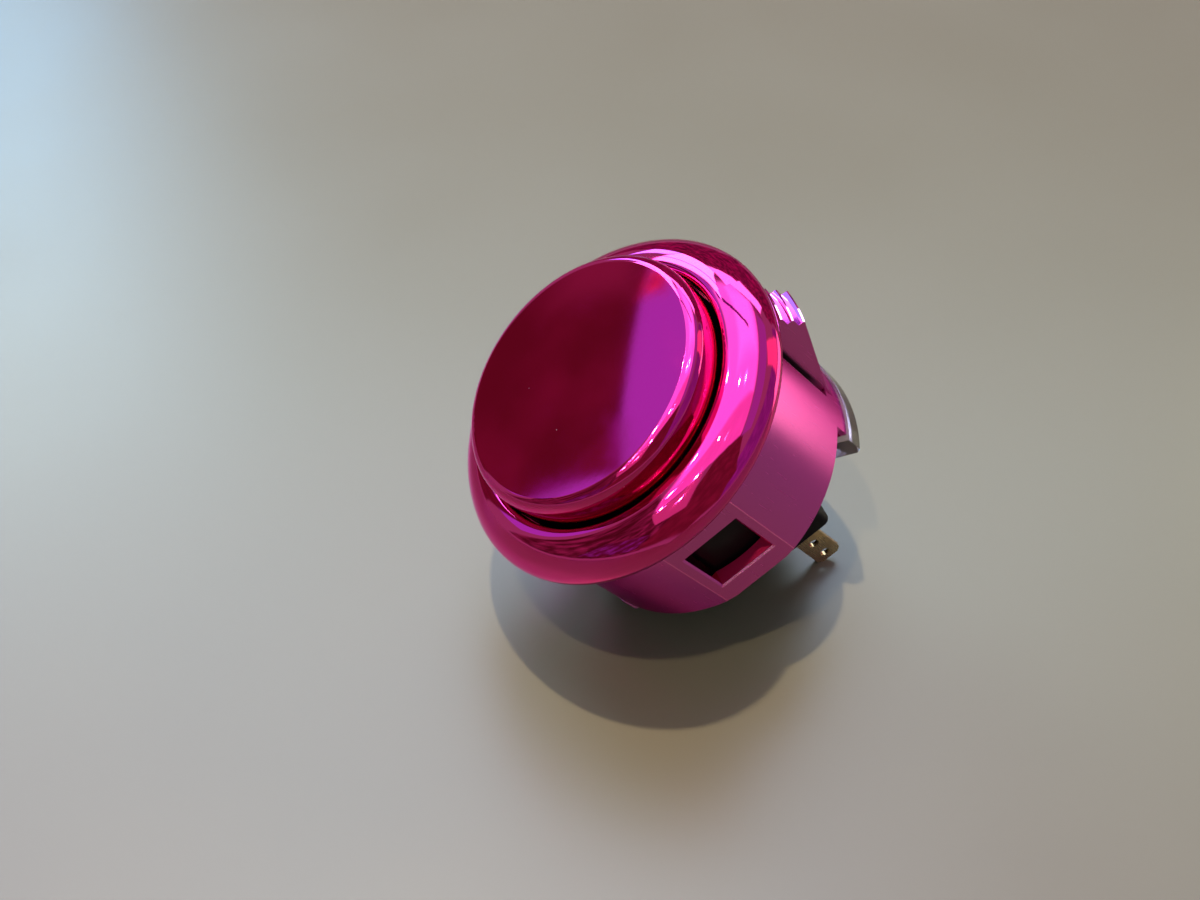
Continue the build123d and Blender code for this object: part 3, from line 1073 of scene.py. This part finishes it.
@dataclass(kw_only=True)
class Card:
    """A glowing or dark panel that the plating mirrors and the camera doesn't see."""

    name: str
    tone: Colour
    blot_tone: Colour | None = None
    blot: float = 160.0
    feather: float = 0.04
    role: Role = Role.REFLECTION

    def spread(self, axes: TableAxes) -> tuple[Vector, Vector, Vector]:
        """Centre of the card, and its width and height as vectors.

        Args:
            axes: The table's axes.

        Returns:
            The three vectors, in metres.
        """
        raise NotImplementedError

    def build(self, axes: TableAxes) -> bpy.types.Object:
        """Make the card.

        Args:
            axes: The table's axes.

        Returns:
            The card.
        """
        centre, width, height = self.spread(axes)
        frame = Matrix((width, height, width.cross(height).normalized())).transposed().to_4x4()
        shape = bmesh.new()
        shape.loops.layers.uv.new("card_uv")
        unit = bmesh.ops.create_grid(shape, x_segments=1, y_segments=1, size=CARD_MIDDLE, calc_uvs=True)
        bmesh.ops.transform(shape, matrix=Matrix.Translation(centre) @ frame, verts=unit["verts"])
        card = new_piece(self.name, shape)
        card.visible_camera = False
        card.visible_shadow = False
        card.visible_diffuse = self.role is Role.LIGHT
        tones = (self.tone, self.blot_tone or self.tone)
        GlowFinish(f"{self.name}_cloth", *tones, self.blot, self.feather).dress(card)
        return card


@dataclass(kw_only=True)
class WallCard(Card):
    """An upright card, given by its bearing, breadth and lowest and highest angle, seen from the button."""

    bearing: float
    breadth: float
    low: float
    high: float
    distance: float = 1150.0

    def spread(self, axes: TableAxes) -> tuple[Vector, Vector, Vector]:
        """Place the upright card.

        Args:
            axes: The table's axes.

        Returns:
            Its centre, width and height.
        """
        bottom = self.distance * math.tan(math.radians(self.low))
        top = self.distance * math.tan(math.radians(self.high))
        wide = 2 * self.distance * math.tan(math.radians(self.breadth / 2))
        out = axes.towards(self.bearing, 0.0)
        centre = (out * self.distance + axes.up * (bottom + top) / 2) * MILLIMETRE
        return centre, axes.up.cross(out) * wide * MILLIMETRE, axes.up * (top - bottom) * MILLIMETRE


@dataclass(kw_only=True)
class CeilingCard(Card):
    """A level card over the table, given by its borders to the left, right, near and far side."""

    left: float
    right: float
    near: float
    far: float
    level: float = 600.0

    def spread(self, axes: TableAxes) -> tuple[Vector, Vector, Vector]:
        """Place the level card.

        Args:
            axes: The table's axes.

        Returns:
            Its centre, width and depth.
        """
        centre = axes.point((self.left + self.right) / 2, (self.near + self.far) / 2, self.level)
        width = axes.right * (self.right - self.left) * MILLIMETRE
        return centre, width, axes.away * (self.near - self.far) * MILLIMETRE


@dataclass(kw_only=True)
class BeamCard(Card):
    """A narrow level card from one point over the table to another, each given to the right and away."""

    start: tuple[float, float]
    stop: tuple[float, float]
    thickness: float = 19.0
    level: float = 585.0

    def spread(self, axes: TableAxes) -> tuple[Vector, Vector, Vector]:
        """Place the beam.

        Args:
            axes: The table's axes.

        Returns:
            Its centre, length and thickness.
        """
        first = axes.point(*self.start, self.level)
        last = axes.point(*self.stop, self.level)
        across = axes.up.cross(last - first).normalized()
        return (first + last) / 2, last - first, across * self.thickness * MILLIMETRE


@dataclass(frozen=True)
class SpotRow:
    """A straight row of ceiling spots: its first spot and the step to the next, as shares of their level."""

    name: str
    right: float
    away: float
    step_right: float
    step_away: float


@dataclass
class Studio:
    """Table, lamps, cards and the pale surroundings."""

    table_up: Triple = (0.617, 0.0, 0.787)
    table_radius: float = 260.0
    table_segments: int = 128
    pale: Colour = (0.40, 0.40, 0.38)
    dim: Colour = (0.175, 0.180, 0.155)
    spot_level: float = 540.0
    spots_in_row: int = 4
    table: TableFinish = TableFinish("table_top")

    def up(self) -> Vector:
        """Direction away from the table, in the part's frame."""
        return Vector(self.table_up).normalized()

    def lowest(self, nodes: dict[str, bpy.types.Object]) -> float:
        """How far along the table's normal the part reaches down."""
        up = self.up()
        return min(up.dot(vertex.co) for node in nodes.values() for vertex in node.data.vertices)

    def lamps(self) -> list[Lamp]:
        """The two lamps that throw the crisp shadows, and the rows of ceiling spots.

        Returns:
            All lamps of the studio.
        """
        shared = {"distance": 800.0, "diameter": 21.0, "tint": (1.0, 0.74, 0.46)}
        shadow_lamps = [
            Lamp(name="shadow_lamp_above", bearing=-58.5, height=83.4, brightness=2900.0, **shared),
            Lamp(name="shadow_lamp_front", bearing=-145.9, height=68.6, brightness=1150.0, **shared),
        ]
        return shadow_lamps + self.ceiling_spots()

    def ceiling_spots(self) -> list[Lamp]:
        """Two rows of small spots overhead, which the plating shows as glints.

        Returns:
            The spots, row by row.
        """
        rows = (
            SpotRow("inner", right=-0.317, away=0.100, step_right=-0.135, step_away=-0.300),
            SpotRow("outer", right=-1.050, away=0.516, step_right=-0.020, step_away=-0.365),
        )
        spots = []
        for row in rows:
            for index in range(self.spots_in_row):
                across = (row.right + index * row.step_right) * self.spot_level
                along = (row.away + index * row.step_away) * self.spot_level
                spot = Lamp(
                    name=f"ceiling_spot_{row.name}_{index + 1}",
                    bearing=math.degrees(math.atan2(across, along)),
                    height=math.degrees(math.atan2(self.spot_level, math.hypot(across, along))),
                    distance=math.hypot(self.spot_level, across, along),
                    diameter=15.0,
                    brightness=480.0,
                    tint=(1.0, 0.92, 0.85),
                    role=Role.REFLECTION,
                )
                spots.append(spot)
        return spots

    def ceiling_cards(self) -> list[Card]:
        """The level cards overhead.

        Returns:
            The cards.
        """
        return [
            CeilingCard(
                name="ceiling_main", tone=(1.355, 0.82, 1.526), blot_tone=(1.548, 0.95, 1.749),
                left=-760.0, right=200.0, near=-330.0, far=420.0,
            ),
            CeilingCard(
                name="ceiling_lilac", tone=(1.806, 1.75, 3.021), feather=0.08,
                left=-720.0, right=200.0, near=-90.0, far=560.0, level=595.0,
            ),
            CeilingCard(
                name="ceiling_bright", tone=(2.4, 2.8, 4.0), feather=0.28, role=Role.LIGHT,
                left=-350.0, right=190.0, near=80.0, far=560.0, level=590.0,
            ),
            BeamCard(
                name="ceiling_beam_near", tone=(0.181, 0.03, 0.35),
                start=(-640.0, 503.0), stop=(0.0, 247.0),
            ),
            BeamCard(
                name="ceiling_beam_far", tone=(0.181, 0.03, 0.35),
                start=(-620.0, 655.0), stop=(380.0, 408.0),
            ),
            CeilingCard(
                name="ceiling_warm", tone=(0.774, 0.46, 0.604),
                left=-760.0, right=-250.0, near=-900.0, far=-330.0,
            ),
            CeilingCard(
                name="ceiling_right", tone=(0.464, 0.31, 0.827),
                left=200.0, right=420.0, near=-350.0, far=420.0,
            ),
        ]

    def wall_cards(self) -> list[Card]:
        """The windows, the low card beside the barrel, and the dim walls round the table.

        Returns:
            The cards.
        """
        return [
            WallCard(
                name="window", tone=(6.0, 8.0, 9.2), role=Role.LIGHT,
                bearing=-37.0, breadth=26.0, low=26.0, high=40.0, distance=640.0,
            ),
            WallCard(
                name="window_bar", tone=(0.15, 0.03, 0.25),
                bearing=-41.0, breadth=1.2, low=25.5, high=40.5, distance=620.0,
            ),
            WallCard(
                name="window_sill", tone=(2.6, 7.0, 12.5), feather=0.15,
                bearing=-29.5, breadth=11.0, low=16.5, high=26.5, distance=650.0,
            ),
            WallCard(
                name="window_strip", tone=(3.4, 4.2, 4.6), feather=0.05, role=Role.LIGHT,
                bearing=6.0, breadth=62.0, low=39.0, high=48.5, distance=480.0,
            ),
            WallCard(
                name="barrel_card", tone=(2.6, 2.5, 1.85), feather=0.1,
                bearing=69.0, breadth=32.0, low=-10.7, high=13.0, distance=118.0,
            ),
            WallCard(
                name="wall_pink", tone=(1.6, 0.6, 0.8), feather=0.15,
                bearing=66.0, breadth=22.0, low=8.0, high=52.0, distance=1000.0,
            ),
            WallCard(
                name="wall_screen", tone=(0.129, 0.03, 0.064), blot_tone=(0.323, 0.19, 0.731), blot=95.0,
                bearing=-132.0, breadth=36.0, low=1.0, high=18.0, distance=1050.0,
            ),
            WallCard(
                name="wall_violet", tone=(0.542, 0.41, 1.431),
                bearing=-63.5, breadth=26.0, low=12.0, high=34.0,
            ),
            WallCard(
                name="wall_glow", tone=(0.60, 0.10, 0.30), blot_tone=(1.30, 0.20, 0.12), blot=12.0,
                feather=0.45,
                bearing=-53.6, breadth=3.4, low=26.4, high=29.6, distance=995.0,
            ),
            WallCard(
                name="wall_left_streak", tone=(0.27, 0.09, 0.13), feather=0.4,
                bearing=-51.0, breadth=9.0, low=17.0, high=28.0, distance=980.0,
            ),
            WallCard(
                name="wall_left", tone=(0.142, 0.03, 0.037), blot_tone=(0.219, 0.05, 0.08), blot=110.0,
                feather=0.035,
                bearing=-58.8, breadth=23.6, low=-3.0, high=27.8, distance=1000.0,
            ),
            WallCard(
                name="wall_front_left", tone=(0.09, 0.03, 0.03), blot_tone=(0.38, 0.17, 0.24), blot=150.0,
                bearing=-118.0, breadth=76.0, low=-3.0, high=40.0,
            ),
            WallCard(
                name="wall_far", tone=(0.11, 0.035, 0.07), blot_tone=(0.60, 0.07, 0.29), blot=45.0,
                bearing=12.0, breadth=76.0, low=-3.0, high=40.0,
            ),
            WallCard(
                name="wall_right", tone=(0.258, 0.1, 0.413), blot_tone=(0.387, 0.16, 0.604),
                bearing=98.0, breadth=96.0, low=-3.0, high=46.0,
            ),
            WallCard(
                name="wall_behind", tone=(0.168, 0.05, 0.056), blot_tone=(0.258, 0.08, 0.095),
                bearing=176.0, breadth=66.0, low=-3.0, high=62.0,
            ),
        ]

    def lay_table(self, axes: TableAxes) -> bpy.types.Object:
        """Round table top under the button.

        Args:
            axes: The table's axes.

        Returns:
            The table.
        """
        shape = bmesh.new()
        made = bmesh.ops.create_circle(
            shape, cap_ends=True, segments=self.table_segments, radius=self.table_radius * MILLIMETRE
        )["verts"]
        turn = Matrix((axes.right, axes.away, axes.up)).transposed().to_4x4()
        bmesh.ops.transform(shape, matrix=Matrix.Translation(axes.foot) @ turn, verts=made)
        top = new_piece("table_top", shape)
        self.table.dress(top)
        return top

    def light_world(self) -> None:
        """Pale surroundings for the camera, metal and glass, and a dimmer fill for the rest."""
        world = bpy.data.worlds.new("studio_surroundings")
        world.use_nodes = True
        graph = Graph(world.node_tree)
        path = graph.node("ShaderNodeLightPath")
        seen = Signal(graph, path.outputs["Is Camera Ray"])
        for kind in ("Is Glossy Ray", "Is Transmission Ray"):
            seen = seen.larger(Signal(graph, path.outputs[kind]))
        tone = graph.blend(seen, self.dim, self.pale)
        shader = graph.node("ShaderNodeBackground", None, {"Color": tone, "Strength": 1.0})
        graph.node("ShaderNodeOutputWorld", None, {"Surface": shader.outputs[0]})
        bpy.context.scene.world = world

    def build(self, nodes: dict[str, bpy.types.Object], eye: Vector) -> None:
        """Set up everything round the button.

        Args:
            nodes: The CAD nodes by name.
            eye: Where the camera stands.
        """
        axes = TableAxes.under(self.up(), eye, self.lowest(nodes))
        self.lay_table(axes)
        for lamp in self.lamps():
            lamp.build(axes)
            log.info("lamp %s", lamp.name)
        for card in self.ceiling_cards() + self.wall_cards():
            card.build(axes)
        self.light_world()
        bpy.context.scene.view_settings.view_transform = "Standard"


def main() -> None:
    """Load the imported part, dress it, and set up the studio and the camera."""
    logging.basicConfig(level=logging.INFO, format="%(name)s: %(message)s")
    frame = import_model()
    nodes = frame["nodes"]
    Housing().build(nodes)
    Plunger().build(nodes)
    Switch().build(nodes)
    studio = Studio()
    camera = PhotoCamera().build(studio.up())
    studio.build(nodes, camera.matrix_world.translation)


if __name__ == "__main__":
    main()
